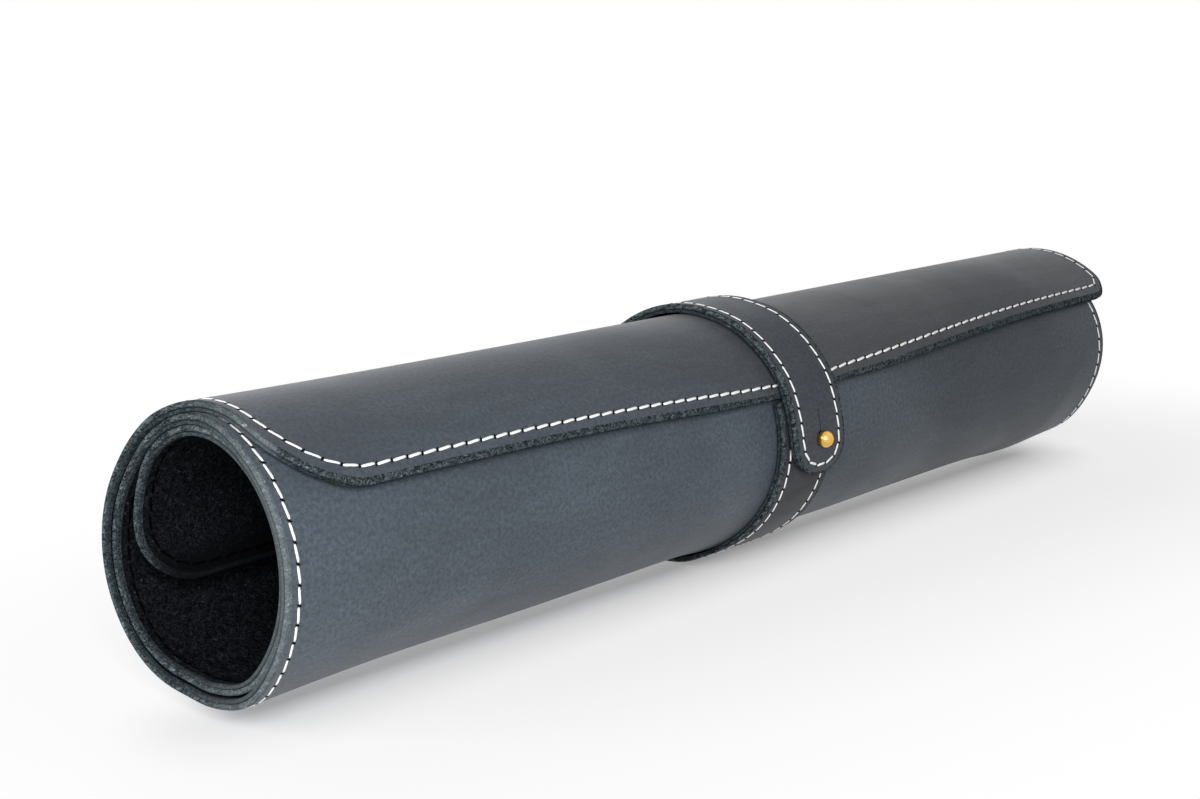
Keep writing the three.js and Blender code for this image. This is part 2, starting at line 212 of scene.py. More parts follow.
# %% How the real roll differs from a spiral
NEAR_ROUND_ANGLES = (28, 60, 90, 120, 148, 165, 182, 197, 212, 226, 240,
                     250, 260, 268, 276, 284, 291, 299, 308, 325, 360, 388)
NEAR_ROUND = (0, 0.4, 1.0, 1.2, 0.9, 1.8, 2.3, 2.1, 0.7, -0.8, -2.4,
              -3.4, -3.6, -2.9, -2.1, -1.2, -0.1, 1.0, 1.5, 0.8, 0, 0)
NEAR_ROUND_SPREAD = 7
NEAR_POWER = 4
FAR_SWELL = (0.7 * MM, 115, 60)
DRAWN_UP_PLACES = (-215, -190, -165, -100, -24, -12, 12, 24, 60, 95, 140, 165, 190)
DRAWN_UP = (0, 0.8, 1.3, 1.2, 1.9, 0.8, 0.8, 1.9, 1.8, 2.3, 2.6, 2.4, 0.4)
DRAWN_UP_BUMP = (1 * MM, 290, 26)
PINCH = (2.0 * MM, 337, 36)
TUCK = (2.8 * MM, 291, 18)
TUCK_POWER = 8
SNUG = ((0.7 * MM, 475, 55), (1.3 * MM, 815, 45))


def bump(angle, amount, middle, span):
    """An amount at one angle, which dies away on both sides of it."""
    return amount * np.exp(-(((angle - middle) / span) ** 2))


def bump_each_turn(angle, amount, middle, span):
    return bump((angle - middle + 180) % 360, amount, 180, span)


def end_shares(across):
    """How near a place is to the near end and to the far end, each from 0 in the middle to 1."""
    share = across / (PAD_WIDTH / 2)
    return np.clip(-share, 0, 1), np.clip(share, 0, 1)


def near_round_table():
    """The near end's table for each degree of a turn from the flap, smoothed between its places."""
    degrees = np.arange(FLAP_ANGLE, FLAP_ANGLE + 360)
    reach = np.arange(-3 * NEAR_ROUND_SPREAD, 3 * NEAR_ROUND_SPREAD + 1)
    weights = bump(reach, 1, 0, NEAR_ROUND_SPREAD)
    plain = np.interp(degrees, NEAR_ROUND_ANGLES, NEAR_ROUND) * MM
    around = np.concatenate([plain[reach[0]:], plain, plain[:reach[-1]]])
    return degrees, np.convolve(around, weights / weights.sum(), mode="valid")


near_round_turn = near_round_table()


def out_of_round(angle, across):
    """How far the sheet stands off the plain spiral, at an angle round it and a place along the roll."""
    near_share, far_share = end_shares(across)
    near_end = np.interp(angle, *near_round_turn, period=360) * near_share**NEAR_POWER
    far_end = far_share * bump(angle, *FAR_SWELL)
    drawn_up = np.interp(across / MM, DRAWN_UP_PLACES, DRAWN_UP) * bump_each_turn(angle, *DRAWN_UP_BUMP)
    pinch = far_share**2 * bump_each_turn(angle, *PINCH)
    tuck = far_share**TUCK_POWER * bump(angle, *TUCK)
    snug = near_share * sum(bump(angle, *place) for place in SNUG)
    return near_end + far_end - drawn_up - pinch - tuck + snug


print("the near end stands off the spiral by up to", in_mm(near_round_turn[1].max()), "mm")

# %% [markdown]
# Bending is one function for each course. A flat point has three numbers: across the sheet, along it, and
# how far above the seam. The real pad's turns are set over along the axis, and the strap holds the flap down
# in the middle, while the flap's free corners ride up and spring off the roll.

# %% Rolling up the pad
FLAP_SHIFT = 3.2 * MM
TURN_SHIFT = -0.5 * MM
INNER_SHIFT = 1.8 * MM
FLAP_SHIFT_SPAN = 300
INNER_SHIFT_LEAD = 350
INNER_SHIFT_SPAN = 160
NEAR_SHIFT_ANGLES = (28, 87, 115, 150, 190, 230, 270, 415, 445, 480, 540, 600, 640)
NEAR_SHIFT = (0, 0, -1.6, -1.5, -1.0, -0.5, 0, 0, 2.0, 2.4, 1.8, 0.8, 0)
BOW_CORNERS = (4.6, 11.0)
BOW_WIDTHS = (78 * MM, 108 * MM)
BOW_STRAP = -1.7
BOW_RISE = 1.7
BOW_RISE_SPAN = 30 * MM
BOW_REACH = 280 * MM
FLAP_MARGIN = 0.5 * MM
FREE_MARGINS = (0.7 * MM, 1.4 * MM)
MARGIN_SPAN = 3.2 * MM
SPRING = 1.2 * MM
SPRING_REACH = 26 * MM
STRAP_HOLD = 38 * MM
FAR_REACH = 5.5 * MM
FAR_REACH_SPAN = 520 * MM
INNER_DROP = 6 * MM
INNER_DROP_SPAN = 140 * MM


def in_the_frame(across, y, z):
    return np.stack([across + axis_place.x, y + axis_place.y, z + axis_place.z], axis=1)


def pad_shift(angle):
    """How far the sheet is set over along the roll at an angle round it."""
    under_flap = smooth_step((angle - FLAP_ANGLE) / FLAP_SHIFT_SPAN)
    inside = smooth_step((angle - pad_end_angle + INNER_SHIFT_LEAD) / INNER_SHIFT_SPAN)
    outer = FLAP_SHIFT + (TURN_SHIFT - FLAP_SHIFT) * under_flap
    return outer + (INNER_SHIFT - outer) * inside


def flap_bow(across):
    """How many degrees the flap's edge lies behind its drawn angle, which bows it between the corners."""
    corner = np.where(across < 0, *BOW_CORNERS)
    width = np.where(across < 0, *BOW_WIDTHS)
    at_strap = BOW_STRAP + BOW_RISE * smooth_step(across / BOW_RISE_SPAN)
    return corner - (corner - at_strap) * np.exp(-((across / width) ** 2))


def roll_pad(flat):
    across, along, above = flat.T
    near_share, far_share = end_shares(across)
    free = 1 - np.exp(-((across / STRAP_HOLD) ** 4))
    free_margin = np.where(across < 0, *FREE_MARGINS)
    margin = (FLAP_MARGIN + free_margin * free) * np.clip(1 - along / MARGIN_SPAN, 0, 1)
    drop = INNER_DROP * near_share * smooth_step((along - PAD_LENGTH + INNER_DROP_SPAN) / INNER_DROP_SPAN)
    held = np.clip(1 - along / BOW_REACH, 0, 1) ** 2
    length = pad_start + along + np.radians(flap_bow(across)) * outermost_seam * held - margin + drop
    angle = roll.angle_at(length)
    spring = SPRING * free * np.clip(1 - along / SPRING_REACH, 0, 1) ** 2
    reach = FAR_REACH * far_share**2 * np.clip(1 - along / FAR_REACH_SPAN, 0, 1) ** 2
    ahead = np.interp(angle, NEAR_SHIFT_ANGLES, NEAR_SHIFT) * MM * near_share**2
    offset = above + spring + out_of_round(angle, across)
    tight = np.stack(roll.at(length, offset))
    relaxed = np.stack(near_roll.at(near_roll.length_at(angle), offset))
    bent = tight + (relaxed - tight) * near_share**NEAR_POWER
    return in_the_frame(across + pad_shift(angle) + reach + ahead, *bent)


print("the middle of the flap's edge comes to", in_mm(roll_pad(np.zeros((1, 3)))), "mm")

# %% [markdown]
# The strap is wrapped the same way. It has to slide along a roll that isn't even, so it stands a little
# further off in some places. Underneath it is lifted with the roll and pressed thin.

# %% Wrapping the strap
STRAP_ROOM_ANGLES = (18, 30, 58, 72, 140, 160, 205, 225)
STRAP_ROOM = (0, 0.9, 0.9, 0.2, 0.2, 0.7, 0.7, 0)
SQUEEZE = (1.5 * MM, 293, 26)
STRAP_LIFT = (2.5 * MM, 290, 28)


def wrap_strap(flat):
    across, along, above = flat.T
    length = strap_start + along
    angle = strap.angle_at(length)
    room = np.interp(angle, STRAP_ROOM_ANGLES, STRAP_ROOM) * MM
    depth = np.clip((LEATHER_HIGH - above) / (LEATHER_HIGH - FELT_LOW), 0, 1)
    squeeze = bump(angle, *SQUEEZE) * depth
    lift = bump(angle, *STRAP_LIFT)
    return in_the_frame(across + strap_shift(length), *strap.at(length, above + room + squeeze - lift))


print("the tip of the tongue comes to", in_mm(wrap_strap(np.zeros((1, 3)))), "mm")

# %% [markdown]
# Finishes come before the pieces, so that each piece can be given its finish as it is made.
# Adding a node and linking its inputs is the same few lines each time, so each kind of step is a function.

# %% Helpers for materials
MIX_FIRST = 6
MIX_SECOND = 7
MIX_RESULT = 2


def linear(red, green, blue):
    """A colour as a screen shows it, from 0 to 255, as the linear colour that a shader uses."""
    shares = [value / 255 for value in (red, green, blue)]
    curve = [value / 12.92 if value <= 0.04045 else ((value + 0.055) / 1.055) ** 2.4 for value in shares]
    return (*curve, 1.0)


def set_inputs(tree, node, inputs):
    """Sets a node's inputs to values, or links them to sockets, by name or number."""
    for name, value in inputs.items():
        if isinstance(value, bpy.types.NodeSocket):
            tree.links.new(value, node.inputs[name])
        else:
            node.inputs[name].default_value = value


def add_node(tree, kind, inputs=None, **settings):
    node = tree.nodes.new(kind)
    for name, value in settings.items():
        setattr(node, name, value)
    set_inputs(tree, node, inputs or {})
    return node


def math_node(tree, operation, first, second=0.0, clamp=False):
    node = add_node(tree, "ShaderNodeMath", {0: first, 1: second}, operation=operation, use_clamp=clamp)
    return node.outputs[0]


def product(tree, first, second):
    return math_node(tree, "MULTIPLY", first, second)


def vector_node(tree, operation, first, second):
    return add_node(tree, "ShaderNodeVectorMath", {0: first, 1: second}, operation=operation).outputs[0]


def apart(tree, vector):
    return add_node(tree, "ShaderNodeSeparateXYZ", {0: vector}).outputs


def object_place(tree):
    return add_node(tree, "ShaderNodeTexCoord").outputs["Object"]


def noise(tree, place, scale, detail=3.0, roughness=0.55, distortion=0.0):
    values = {"Vector": place, "Scale": scale, "Detail": detail,
              "Roughness": roughness, "Distortion": distortion}
    return add_node(tree, "ShaderNodeTexNoise", values).outputs["Fac"]


def between(tree, value, low, high, to_low=0.0, to_high=1.0):
    values = {"Value": value, "From Min": low, "From Max": high, "To Min": to_low, "To Max": to_high}
    return add_node(tree, "ShaderNodeMapRange", values, interpolation_type="SMOOTHSTEP").outputs["Result"]


def blend_colours(tree, share, first, second):
    values = {"Factor": share, MIX_FIRST: first, MIX_SECOND: second}
    return add_node(tree, "ShaderNodeMix", values, data_type="RGBA").outputs[MIX_RESULT]


def new_group(name, inputs, outputs):
    group = bpy.data.node_groups.new(name, "ShaderNodeTree")
    for socket_name, kind, value in inputs:
        socket = group.interface.new_socket(socket_name, in_out="INPUT", socket_type=kind)
        if value is not None:
            socket.default_value = value
    for socket_name, kind in outputs:
        group.interface.new_socket(socket_name, in_out="OUTPUT", socket_type=kind)
    return group, group.nodes.new("NodeGroupInput").outputs, group.nodes.new("NodeGroupOutput")


def place_group(tree, group, inputs):
    return add_node(tree, "ShaderNodeGroup", inputs, node_tree=group).outputs


def new_material(name):
    material = bpy.data.materials.new(name)
    material.use_nodes = True
    return material, material.node_tree, material.node_tree.nodes["Principled BSDF"]


def dress(tree, shader, colour, roughness, shine, height, strength, depth):
    """Gives a shader its colour, roughness and shine, and a bump of this height."""
    bump_values = {"Height": height, "Strength": strength, "Distance": depth}
    normal = add_node(tree, "ShaderNodeBump", bump_values).outputs[0]
    set_inputs(tree, shader, {"Base Color": colour, "Roughness": roughness, "Normal": normal,
                              "Specular IOR Level": shine})


print("a middle grey on the screen is", round(linear(128, 128, 128)[0], 3), "in a shader")

# %% [markdown]
# Waxed pull-up leather is never one colour. The wax moves where the hide is bent or handled, which leaves
# soft clouds, faint streaks, fine mottling and tiny pale specks over a pebbled grain. The pad and the strap
# share them, so they are a node group, built once. It reads the flat cut's own UV map, in metres, because
# grain belongs to the hide and bends with it.

# %% The leather grain group
FLOAT = "NodeSocketFloat"
VECTOR = "NodeSocketVector"
STREAK_STRETCH = (28.0, 150.0, 1.0)
grain_group, grain_in, grain_out = new_group(
    "leather_grain",
    [("Place", VECTOR, None), ("Cloud Scale", FLOAT, 12.0), ("Grain Scale", FLOAT, 900.0)],
    [("Clouds", FLOAT), ("Streaks", FLOAT), ("Mottle", FLOAT), ("Pebble", FLOAT), ("Specks", FLOAT)],
)
tree = grain_group
place = grain_in["Place"]
stretched = vector_node(tree, "MULTIPLY", place, STREAK_STRETCH)
GRAIN_MARKS = (
    # Name, place, scale, detail, roughness, distortion, and the noise that counts as none and as full
    ("Clouds", place, grain_in["Cloud Scale"], 5.0, 0.6, 0.5, 0.32, 0.68),
    ("Streaks", stretched, 1.0, 4.0, 0.65, 0.8, 0.35, 0.7),
    ("Mottle", place, 760.0, 3.0, 0.7, 0.0, 0.3, 0.7),
    ("Specks", place, 520.0, 1.0, 0.5, 0.0, 0.79, 0.83),
)
for mark, *noise_values, none, full in GRAIN_MARKS:
    set_inputs(tree, grain_out, {mark: between(tree, noise(tree, *noise_values), none, full)})
cell_values = {"Vector": place, "Scale": grain_in["Grain Scale"], "Randomness": 1.0}
cells = add_node(tree, "ShaderNodeTexVoronoi", cell_values, feature="SMOOTH_F1").outputs["Distance"]
pebbles = noise(tree, place, grain_in["Grain Scale"], detail=4.0, roughness=0.7)
set_inputs(tree, grain_out, {"Pebble": math_node(tree, "ADD", cells, pebbles)})
print("grain group with", len(grain_group.nodes), "nodes")

# %% [markdown]
# The leather itself is a blue-grey, and browner where it has been handled: on the flap and on the strap.
# Shade is painted into it towards the far end, where less light reaches, but not on the flap's far corner,
# which the light catches.
# The wax gives it a low, broad shine, so it is rough but not matt, and the grain only dents it slightly.

# %% Leather for the pad and the strap
UV_NAME = "cut"
CLOUD_WARMTH = 0.25
MARKS = (("Clouds", 0.32, 0.55), ("Streaks", 0.24, 1.5), ("Mottle", 0.75, 0.4))
SPECK_SHARE = 0.45
SPECK_COLOUR = linear(165, 170, 174)
# Painted shade towards the far end, left off the flap's far corner, which the light catches.
PAINTED_SHADE_FAR_END = (-10 * MM, 110 * MM, 0.0, 0.34)
LIT_CORNER_ALONG = (30 * MM, 110 * MM, 1.0, 0.0)
LIT_CORNER_ACROSS = (60 * MM, 170 * MM, 0.0, 0.85)
PAINTED_SHADE_BLACK = linear(0, 0, 0)
LEATHER_ROUGHNESS = (0.48, 0.62)


def cut_place(tree, shift=(0.0, 0.0, 0.0)):
    uv = add_node(tree, "ShaderNodeUVMap", uv_map=UV_NAME).outputs["UV"]
    return vector_node(tree, "ADD", uv, shift)


def shaded(colour, share):
    return tuple(value * share for value in colour[:3]) + (1.0,)


def make_leather(name, shift, cool, warm, warm_along, warm_across, shine):
    """warm_along and warm_across each hold two places on the cut, and the share of warm colour at each."""
    material, tree, shader = new_material(name)
    grain = place_group(tree, grain_group, {"Place": cut_place(tree, shift)})
    across, along, _ = apart(tree, cut_place(tree))
    warmth = product(tree, between(tree, along, *warm_along), between(tree, across, *warm_across))
    clouded = product(tree, grain["Clouds"], CLOUD_WARMTH)
    colour = blend_colours(tree, math_node(tree, "ADD", warmth, clouded, clamp=True), cool, warm)
    for mark, share, tone in MARKS:
        colour = blend_colours(tree, product(tree, grain[mark], share), colour, shaded(cool, tone))
    colour = blend_colours(tree, product(tree, grain["Specks"], SPECK_SHARE), colour, SPECK_COLOUR)
    # Painted shade: darker towards the far end, where less light reaches, except on the flap's far corner,
    # which the light catches.
    in_corner = between(tree, across, *LIT_CORNER_ACROSS)
    pale = product(tree, between(tree, along, *LIT_CORNER_ALONG), in_corner)
    painted_far_shade = product(tree, between(tree, across, *PAINTED_SHADE_FAR_END), math_node(tree, "SUBTRACT", 1.0, pale))
    colour = blend_colours(tree, painted_far_shade, colour, PAINTED_SHADE_BLACK)
    roughness = between(tree, grain["Clouds"], 0.0, 1.0, *LEATHER_ROUGHNESS)
    dress(tree, shader, colour, roughness, shine, grain["Pebble"], strength=0.4, depth=0.15 * MM)
    set_inputs(tree, shader, {"Sheen Weight": 0.1, "Sheen Roughness": 0.5})
    return material


pad_leather = make_leather(
    "waxed_leather", shift=(0, 0, 0), cool=linear(82, 92, 102), warm=linear(66, 65, 68),
    warm_along=(60 * MM, 150 * MM, 1.0, 0.0), warm_across=(-120 * MM, 60 * MM, 0.3, 1.0), shine=0.21,
)
strap_leather = make_leather(
    "strap_leather", shift=(1.7, 0.4, 0), cool=linear(72, 79, 87), warm=linear(34, 30, 31),
    warm_along=(190 * MM, 250 * MM, 0.1, 1.0), warm_across=(-1, -0.5, 0.0, 1.0), shine=0.13,
)
print("leather with", len(pad_leather.node_tree.nodes), "nodes")

# %% [markdown]
# A raw cut edge of leather is a mat of loose fibres, paler and bluer than the waxed face.
# The felt is pressed wool: black, with fibres lying every way and a few that catch the light.
# Both come from one fibre group, noise stretched in two directions. The near end's edge has painted light in
# front, where the light falls on it, and the innermost edge, deep in the roll, has painted shade that makes
# it nearly black.

# %% Raw edges and felt
FIBRE_AXIS = (0.3, 0.2, 0.93)
FIBRE_TURNS = ((0.5, (1.0, 0.28, 1.0)), (1.4, (0.28, 1.0, 1.0)))
FIBRE_RANGE = (0.45, 0.7)
BRIGHT_RANGE = (0.64, 0.74)
BRIGHT_SHARE = 0.7
# Painted shade: the innermost end, deep in the roll, is darkened nearly to black.
PAINTED_SHADE_INSIDE = (PAD_LENGTH - 14 * MM, PAD_LENGTH - 3 * MM, 0.0, 0.9)
INSIDE_SHADE_COLOUR = linear(12, 13, 15)
# Painted light: the front of the near end's edge is blended towards the bright fibre colour, where the light
# falls on it.
PAINTED_LIGHT_END = (-PAD_WIDTH / 2 + 2 * MM, -PAD_WIDTH / 2 + 4 * MM, 0.13, 0.0)
PAINTED_LIGHT_FRONT = (-38 * MM, 20 * MM, 1.0, 0.0)

fibre_group, fibre_in, fibre_out = new_group(
    "loose_fibres",
    [("Place", VECTOR, None), ("Fibre Scale", FLOAT, 700.0)],
    [("Fibres", FLOAT), ("Bright", FLOAT)],
)
tree = fibre_group
crossings = []
for angle, stretch in FIBRE_TURNS:
    turn_values = {"Vector": fibre_in["Place"], "Axis": FIBRE_AXIS, "Angle": angle}
    turned = add_node(tree, "ShaderNodeVectorRotate", turn_values).outputs[0]
    drawn = vector_node(tree, "MULTIPLY", turned, stretch)
    crossings.append(noise(tree, drawn, fibre_in["Fibre Scale"], detail=5.0, roughness=0.75, distortion=1.2))
fibres = math_node(tree, "MAXIMUM", *crossings)
set_inputs(tree, fibre_out, {
    "Fibres": between(tree, fibres, *FIBRE_RANGE),
    "Bright": between(tree, fibres, *BRIGHT_RANGE),
})


def make_fibrous(name, dark, mid, bright, fibre_scale, depth, shine):
    material, tree, shader = new_material(name)
    place = object_place(tree)
    fibre = place_group(tree, fibre_group, {"Place": place, "Fibre Scale": fibre_scale})
    colour = blend_colours(tree, fibre["Fibres"], dark, mid)
    colour = blend_colours(tree, product(tree, fibre["Bright"], BRIGHT_SHARE), colour, bright)
    across, along, _ = apart(tree, cut_place(tree))
    # Painted light on the front of the near end's edge, where the light falls.
    in_front = between(tree, apart(tree, place)[1], *PAINTED_LIGHT_FRONT)
    colour = blend_colours(tree, product(tree, between(tree, across, *PAINTED_LIGHT_END), in_front), colour, bright)
    # Painted shade on the innermost end, deep in the roll.
    colour = blend_colours(tree, between(tree, along, *PAINTED_SHADE_INSIDE), colour, INSIDE_SHADE_COLOUR)
    dress(tree, shader, colour, 0.95, shine, fibre["Fibres"], strength=0.6, depth=depth)
    return material


leather_edge = make_fibrous(
    "raw_leather_edge", linear(22, 27, 30), linear(114, 127, 133), linear(205, 217, 221),
    fibre_scale=950.0, depth=0.3 * MM, shine=0.05,
)
felt_face = make_fibrous(
    "black_felt", linear(9, 10, 12), linear(46, 49, 55), linear(120, 122, 126),
    fibre_scale=900.0, depth=0.4 * MM, shine=0.0,
)
felt_edge = make_fibrous(
    "felt_edge", linear(24, 29, 32), linear(82, 92, 97), linear(180, 190, 195),
    fibre_scale=1150.0, depth=0.3 * MM, shine=0.05,
)
print("fibre group with", len(fibre_group.nodes), "nodes, used by three finishes")

# %% [markdown]
# The thread is waxed linen, off-white on the leather side and black on the felt side.
# Fine noise stands for its twist. The needle holes beside it are dark with painted shade, for the shade
# inside each hole.

# %% Thread and needle holes
TWIST_RANGE = (0.35, 0.65)


def make_thread(name, colour, shade, shine):
    material, tree, shader = new_material(name)
    twist = noise(tree, object_place(tree), scale=2600.0, detail=2.0)
    twisted = blend_colours(tree, between(tree, twist, *TWIST_RANGE), shade, colour)
    dress(tree, shader, twisted, roughness=0.7, shine=shine, height=twist, strength=0.5, depth=0.1 * MM)
    return material


white_thread = make_thread("white_thread", linear(255, 255, 255), linear(246, 245, 242), 0.2)
black_thread = make_thread("black_thread", linear(7, 7, 8), linear(4, 4, 5), 0.0)
# Painted shade: the needle holes' dark colour stands for the shade inside the holes.
hole_shade = make_thread("hole_shade", linear(14, 15, 17), linear(8, 9, 10), 0.0)
print("threads:", white_thread.name, black_thread.name, "and", hole_shade.name)

# %% [markdown]
# The stud is solid brass, polished and then handled, so its colour and its shine are a little uneven.

# %% Brass
BRIGHT_BRASS = (0.86, 0.53, 0.14, 1)
TARNISHED_BRASS = (0.72, 0.39, 0.08, 1)
TARNISH_RANGE = (0.35, 0.7)
BRASS_ROUGHNESS = (0.3, 0.7, 0.16, 0.3)
brass, tree, shader = new_material("polished_brass")
tarnish = noise(tree, object_place(tree), scale=420.0, detail=4.0, roughness=0.6)
set_inputs(tree, shader, {
    "Base Color": blend_colours(tree, between(tree, tarnish, *TARNISH_RANGE), BRIGHT_BRASS, TARNISHED_BRASS),
    "Roughness": between(tree, tarnish, *BRASS_ROUGHNESS),
    "Metallic": 1.0,
})
print("brass with", len(tree.nodes), "nodes")

# %% [markdown]
# A flat cut starts as a plane. Its corners are rounded by bevelling its vertices, and an inset marks the rim
# where the cut has frayed. It is ruled into strips with bisect, as it can only bend where it has edges.

# %% Helpers for cutting flat sheets
FRAYED_EDGE = 1.4 * MM
CORNER_REACH = 0.1 * MM
RULE_THRESHOLD = 0.01 * MM


def select_only(piece):
    bpy.ops.object.select_all(action="DESELECT")
    piece.select_set(True)
    bpy.context.view_layer.objects.active = piece


def select_points(piece, chosen):
    """In edit mode, selects the points for which chosen(place) is true."""
    mesh = bmesh.from_edit_mesh(piece.data)
    for point in mesh.verts:
        point.select = bool(chosen(point.co))
    mesh.select_flush_mode()
    bmesh.update_edit_mesh(piece.data)


def cut_flat(width, start, length, corners):
    """A flat sheet from start to start + length along Y; corners maps (side, end) to a corner's radius."""
    bpy.ops.mesh.primitive_plane_add(size=1, location=(0, start + length / 2, 0))
    sheet = bpy.context.object
    sheet.scale = (width, length, 1)
    bpy.ops.object.transform_apply()
    bpy.ops.object.mode_set(mode="EDIT")
    bpy.ops.mesh.select_mode(type="VERT")
    for (side, end), radius in corners.items():
        corner = Vector((side * width / 2, start + end * length, 0))
        select_points(sheet, lambda place: (place - corner).length < CORNER_REACH)
        bpy.ops.mesh.bevel(offset=radius, segments=9, affect="VERTICES")
    bpy.ops.mesh.select_all(action="SELECT")
    bpy.ops.mesh.inset(thickness=FRAYED_EDGE, depth=0)
    bpy.ops.object.mode_set(mode="OBJECT")
    for face in sheet.data.polygons:
        face.material_index = 0 if face.select else 1
    return sheet


def rule_lines(piece, across_places, along_places):
    """Cuts new edges through the whole piece at these places."""
    select_only(piece)
    bpy.ops.object.mode_set(mode="EDIT")
    for direction, places in (((1, 0, 0), across_places), ((0, 1, 0), along_places)):
        for place in places:
            bpy.ops.mesh.select_all(action="SELECT")
            point = Vector(direction) * float(place)
            bpy.ops.mesh.bisect(plane_co=point, plane_no=direction, threshold=RULE_THRESHOLD)
    bpy.ops.object.mode_set(mode="OBJECT")


print("a cut's frayed rim is", in_mm(FRAYED_EDGE), "mm wide")

# %% [markdown]
# Leather and felt come from the same cut, each thickened to its own two heights, with its edges worn round
# by a bevel. Before a layer is bent, its flat shape is kept as the UV map that the grain is drawn by.

# %% Helpers for thickening and bending
WORN_SHARE = 0.46


def modify(piece, kind, **settings):
    """Adds a modifier with its settings, and applies it."""
    modifier = piece.modifiers.new(kind.lower(), kind)
    for name, value in settings.items():
        setattr(modifier, name, value)
    select_only(piece)
    bpy.ops.object.modifier_apply(modifier=modifier.name)


def smooth(piece, angle):
    """Shades a piece smooth, but for edges that are sharper than the angle."""
    select_only(piece)
    bpy.ops.object.shade_smooth_by_angle(angle=math.radians(angle))


def thicken(cut, name, low, high, face, edge):
    """A copy of a flat cut as a layer between two heights, with its edges worn round."""
    select_only(cut)
    bpy.ops.object.duplicate()
    layer = bpy.context.object
    layer.name = name
    layer.data.name = name
    layer.data.transform(Matrix.Translation((0, 0, low)))
    layer.data.materials.append(face)
    layer.data.materials.append(edge)
    modify(layer, "SOLIDIFY", thickness=high - low, offset=1, material_offset_rim=1)
    modify(layer, "BEVEL", width=WORN_SHARE * (high - low), segments=4, limit_method="ANGLE",
           angle_limit=math.radians(50), material=1)
    return layer


def read_points(mesh):
    points = np.empty(len(mesh.vertices) * 3)
    mesh.vertices.foreach_get("co", points)
    return points.reshape(-1, 3)


def lay(piece, bend):
    """Keeps the flat piece's own place as its UV map, then bends it into shape."""
    mesh = piece.data
    flat = read_points(mesh)
    while mesh.uv_layers:
        mesh.uv_layers.remove(mesh.uv_layers[0])
    corner = np.empty(len(mesh.loops), np.int32)
    mesh.loops.foreach_get("vertex_index", corner)
    mesh.uv_layers.new(name=UV_NAME).uv.foreach_set("vector", flat[corner, :2].astype(np.float32).ravel())
    mesh.vertices.foreach_set("co", bend(flat).ravel())
    mesh.update()
    smooth(piece, angle=40)
    print(piece.name, len(mesh.polygons), "faces")


def make_layers(names, cut, face, columns, rows, bend, cutter=None):
    """Leather and felt from one cut: thickened, given a hole, ruled into strips and bent."""
    layers = [
        thicken(cut, names.format("leather"), LEATHER_LOW, LEATHER_HIGH, face, leather_edge),
        thicken(cut, names.format("felt"), FELT_LOW, FELT_HIGH, felt_face, felt_edge),
    ]
    bpy.data.objects.remove(cut)
    for layer in layers:
        if cutter:
            modify(layer, "BOOLEAN", operation="DIFFERENCE", object=cutter)
        rule_lines(layer, columns, rows)
        lay(layer, bend)
    return layers


print("the leather's edges are worn by", in_mm(WORN_SHARE * LEATHER), "mm")

# %% [markdown]
# The pad is one big cut. The corners of its flap are rounded more at the near end than at the far one, as on
# the real roll. It is ruled finely along, where it bends most, and more coarsely across.

# %% The pad's leather and felt
FLAP_NEAR_CORNER = 26 * MM
FLAP_FAR_CORNER = 10 * MM
INNER_NEAR_CORNER = 18 * MM
INNER_FAR_CORNER = 10 * MM
ROW = 2.2 * MM
COLUMN = 12 * MM

pad_cut = cut_flat(PAD_WIDTH, 0, PAD_LENGTH, {
    (-1, 0): FLAP_NEAR_CORNER,
    (1, 0): FLAP_FAR_CORNER,
    (-1, 1): INNER_NEAR_CORNER,
    (1, 1): INNER_FAR_CORNER,
})
columns = np.arange(-PAD_WIDTH / 2 + COLUMN, PAD_WIDTH / 2, COLUMN)
rows = np.arange(ROW, PAD_LENGTH, ROW)
leather_sheet, felt_sheet = make_layers("{}_sheet", pad_cut, pad_leather, columns, rows, roll_pad)

# %% [markdown]
# A stitch is a short plump piece of thread that dives into the leather at both ends. It is modelled once, as
# an eight-sided tube extruded ring by ring, to be copied. A needle hole is a low, eight-sided disc, later
# given a dark colour of painted shade for the shade inside the hole.

# %% One stitch and one needle hole
STITCH_RINGS = ((0.35, 0.0, -0.7), (0.75, 0.05, -0.2), (1.0, 0.2, 0.0),
                (1.0, 0.8, 0.0), (0.75, 0.95, -0.2), (0.35, 1.0, -0.7))


def extrude_rings(rings, flat_axis):
    """Extrudes a new circle from ring to ring; a ring is its size, and its place in X and Z."""
    bpy.ops.object.mode_set(mode="EDIT")
    bpy.ops.mesh.select_all(action="SELECT")
    for (size, x, z), (next_size, next_x, next_z) in zip(rings, rings[1:]):
        move = (next_x - x, 0, next_z - z)
        bpy.ops.mesh.extrude_region_move(TRANSFORM_OT_translate={"value": move})
        grow = [next_size / size] * 3
        grow[flat_axis] = 1
        bpy.ops.transform.resize(value=grow)


def close_model():
    bpy.ops.mesh.select_all(action="SELECT")
    bpy.ops.mesh.normals_make_consistent(inside=False)
    bpy.ops.object.mode_set(mode="OBJECT")


def model_stitch():
    """A stitch of length 1 along X and of width and height 1, as a piece of its own."""
    size, x, z = STITCH_RINGS[0]
    bpy.ops.mesh.primitive_circle_add(vertices=8, radius=size / 2, fill_type="NGON", location=(x, 0, z),
                                      rotation=(0, math.pi / 2, 0))
    bpy.ops.object.transform_apply()
    extrude_rings(STITCH_RINGS, 0)
    close_model()
    return bpy.context.object


def model_hole():
    """A disc of length, width and height 1, from 0 to 1 along X."""
    bpy.ops.mesh.primitive_cylinder_add(vertices=8, radius=0.5, depth=1, location=(0.5, 0, 0))
    bpy.ops.object.transform_apply()
    return bpy.context.object


